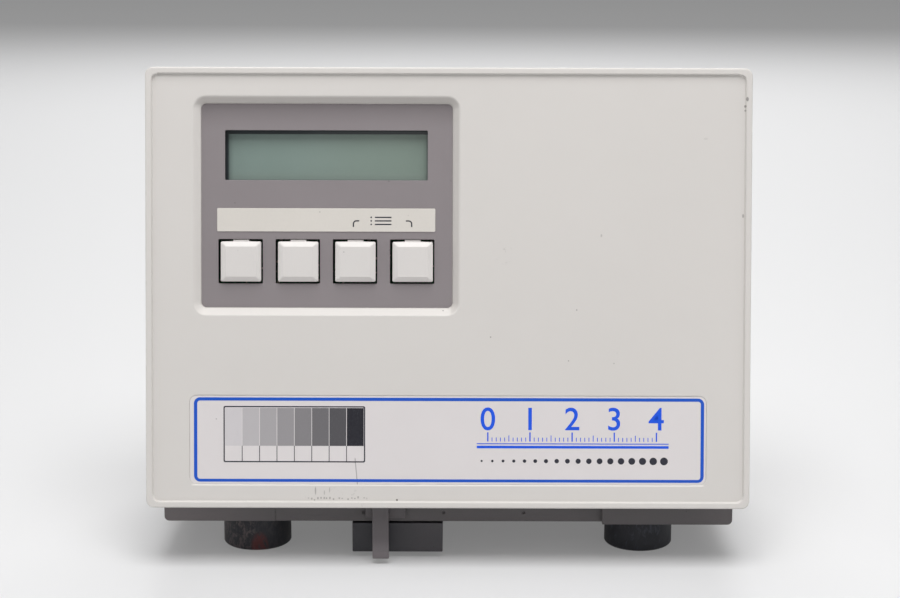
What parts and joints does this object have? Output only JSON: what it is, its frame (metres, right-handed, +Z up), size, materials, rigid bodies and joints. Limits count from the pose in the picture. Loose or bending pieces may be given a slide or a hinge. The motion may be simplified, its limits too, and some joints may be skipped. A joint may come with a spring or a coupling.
{
  "type": "photographic densitometer",
  "caption": "Desktop strip-reading densitometer: leaning pale housing with display and keys, on a grey base with rubber feet, with a lamp arm under a paper slot.",
  "frame": {"origin": "on the table under the middle of the bounding box, at the height that the rubber feet stand on", "axes": "+X to the reader's right across the housing, -Y to the front with the keys and display, +Z up"},
  "size_m": [0.1968, 0.105, 0.1619],
  "materials": {
    "housing_plastic": "warm pale grey moulding, fine spark texture",
    "panel_plastic": "purple-grey moulding, satin",
    "label_film": "printed film, satin",
    "black_metal": "black painted sheet steel",
    "display_glass": "grey-green liquid crystal, glossy",
    "circuit_board": "green solder mask",
    "key_plastic": "off-white moulding, satin",
    "black_plastic": "black moulding, satin",
    "plunger_plastic": "red moulding",
    "bright_steel": "bright, zinc plated",
    "dark_steel": "blackened",
    "base_plastic": "dark warm grey moulding, satin",
    "guide_plastic": "mid grey moulding, satin",
    "arm_plastic": "charcoal moulding, satin",
    "foot_rubber": "black, mottled with rusty brown on one foot",
    "opal_plastic": "opal",
    "zinc_plate": "zinc plated sheet",
    "brass": "turned",
    "roller_rubber": "ground, matte",
    "gear_plastic": "natural acetal",
    "black_anodised": "black anodised, matte",
    "lens_glass": "coated",
    "ribbon_vinyl": "grey vinyl, one edge marked"
  },
  "bodies": {
    "housing": {"front_cover": "housing_plastic", "rear_cover": "housing_plastic", "label_plate": "label_film", "control_panel": "panel_plastic", "lcd_frame": "black_metal", "lcd_glass": "display_glass", "lcd_board": "circuit_board", "key_rail": "black_plastic", "key_board": "circuit_board", "switch_bodies": "black_plastic", "panel_screws": "bright_steel", "base_pan": "base_plastic", "foot_front_left": "foot_rubber", "foot_front_right": "foot_rubber", "foot_rear_left": "foot_rubber", "foot_rear_right": "foot_rubber", "foot_bolts": "bright_steel", "base_screws": "bright_steel", "cover_screws": "dark_steel", "arm_shell": "arm_plastic", "arm_cover": "arm_plastic", "arm_diffuser": "opal_plastic", "arm_lamp_board": "circuit_board", "roller_frame_left": "zinc_plate", "roller_frame_right": "zinc_plate", "shaft_bushes": "brass", "idler_axles": "bright_steel", "drive_motor": "zinc_plate", "optics_block": "black_anodised", "lens_barrel": "brass", "objective_lens": "lens_glass", "detector_board": "circuit_board", "reflection_lamp": "opal_plastic", "main_board": "circuit_board", "board_parts": "black_plastic", "board_standoffs": "brass", "ribbon_cable": "ribbon_vinyl", "io_jack": "black_plastic", "power_jack": "black_plastic"},
    "key_1_body": {"key_1": "key_plastic"},
    "key_2_body": {"key_2": "key_plastic"},
    "key_3_body": {"key_3": "key_plastic"},
    "key_4_body": {"key_4": "key_plastic"},
    "plunger_1_body": {"switch_plunger_1": "plunger_plastic"},
    "plunger_2_body": {"switch_plunger_2": "plunger_plastic"},
    "plunger_3_body": {"switch_plunger_3": "plunger_plastic"},
    "plunger_4_body": {"switch_plunger_4": "plunger_plastic"},
    "guide": {"strip_guide": "guide_plastic", "guide_keeper": "bright_steel"},
    "front_drive": {"front_drive_shaft": "bright_steel", "front_drive_rollers": "roller_rubber", "front_drive_gear": "gear_plastic"},
    "rear_drive": {"rear_drive_shaft": "bright_steel", "rear_drive_rollers": "roller_rubber", "rear_drive_gear": "gear_plastic"},
    "front_idler": {"front_idler_gear": "gear_plastic"},
    "rear_idler": {"rear_idler_gear": "gear_plastic"},
    "motor_rotor": {"motor_pinion": "brass"},
    "front_pinch": {"front_pinch_roller": "bright_steel"},
    "rear_pinch": {"rear_pinch_roller": "bright_steel"}
  },
  "joints": [
    {"name": "key_1_press", "type": "hinge", "parent": "housing", "child": "key_1_body", "pos_m": [-0.06778, -0.02999, 0.1072], "axis": [1, 0, 0], "range_deg": [0, 4.5], "stiffness_Nm_per_rad": 0.15},
    {"name": "key_2_press", "type": "hinge", "parent": "housing", "child": "key_2_body", "pos_m": [-0.04913, -0.02999, 0.1072], "axis": [1, 0, 0], "range_deg": [0, 4.5], "stiffness_Nm_per_rad": 0.15},
    {"name": "key_3_press", "type": "hinge", "parent": "housing", "child": "key_3_body", "pos_m": [-0.03047, -0.02999, 0.1072], "axis": [1, 0, 0], "range_deg": [0, 4.5], "stiffness_Nm_per_rad": 0.15},
    {"name": "key_4_press", "type": "hinge", "parent": "housing", "child": "key_4_body", "pos_m": [-0.01183, -0.02999, 0.1072], "axis": [1, 0, 0], "range_deg": [0, 4.5], "stiffness_Nm_per_rad": 0.15},
    {"name": "plunger_1_slide", "type": "slide", "parent": "housing", "child": "plunger_1_body", "axis": [0, 0.9848, -0.1736], "range_m": [0, 0.00071]},
    {"name": "plunger_2_slide", "type": "slide", "parent": "housing", "child": "plunger_2_body", "axis": [0, 0.9848, -0.1736], "range_m": [0, 0.00071]},
    {"name": "plunger_3_slide", "type": "slide", "parent": "housing", "child": "plunger_3_body", "axis": [0, 0.9848, -0.1736], "range_m": [0, 0.00071]},
    {"name": "plunger_4_slide", "type": "slide", "parent": "housing", "child": "plunger_4_body", "axis": [0, 0.9848, -0.1736], "range_m": [0, 0.00071]},
    {"name": "guide_slide", "type": "slide", "parent": "housing", "child": "guide", "axis": [1, 0, 0], "range_m": [-0.0297, 0.0648]},
    {"name": "front_drive_spin", "type": "hinge", "parent": "housing", "child": "front_drive", "pos_m": [0, -0.0245, 0.02235], "axis": [1, 0, 0], "continuous": true},
    {"name": "rear_drive_spin", "type": "hinge", "parent": "housing", "child": "rear_drive", "pos_m": [0, 0.0255, 0.02235], "axis": [1, 0, 0], "continuous": true},
    {"name": "front_idler_spin", "type": "hinge", "parent": "housing", "child": "front_idler", "pos_m": [0, -0.01108, 0.02635], "axis": [1, 0, 0], "continuous": true},
    {"name": "rear_idler_spin", "type": "hinge", "parent": "housing", "child": "rear_idler", "pos_m": [0, 0.01208, 0.02635], "axis": [1, 0, 0], "continuous": true},
    {"name": "motor_spin", "type": "hinge", "parent": "housing", "child": "motor_rotor", "pos_m": [0, 0.0005, 0.0318], "axis": [1, 0, 0], "continuous": true},
    {"name": "front_pinch_spin", "type": "hinge", "parent": "housing", "child": "front_pinch", "pos_m": [0, -0.0245, 0.00855], "axis": [1, 0, 0], "continuous": true},
    {"name": "rear_pinch_spin", "type": "hinge", "parent": "housing", "child": "rear_pinch", "pos_m": [0, 0.0255, 0.00855], "axis": [1, 0, 0], "continuous": true}
  ],
  "couplings": [
    {"joint": "plunger_1_slide", "follows": "key_1_press", "m_per_rad": 0.009},
    {"joint": "plunger_2_slide", "follows": "key_2_press", "m_per_rad": 0.009},
    {"joint": "plunger_3_slide", "follows": "key_3_press", "m_per_rad": 0.009},
    {"joint": "plunger_4_slide", "follows": "key_4_press", "m_per_rad": 0.009},
    {"joint": "rear_drive_spin", "follows": "front_drive_spin", "ratio": 1},
    {"joint": "front_idler_spin", "follows": "front_drive_spin", "ratio": -0.75},
    {"joint": "rear_idler_spin", "follows": "front_drive_spin", "ratio": -0.75},
    {"joint": "motor_spin", "follows": "front_drive_spin", "ratio": 1.25},
    {"joint": "front_pinch_spin", "follows": "front_drive_spin", "ratio": -2.8571},
    {"joint": "rear_pinch_spin", "follows": "front_drive_spin", "ratio": -2.8571}
  ]
}
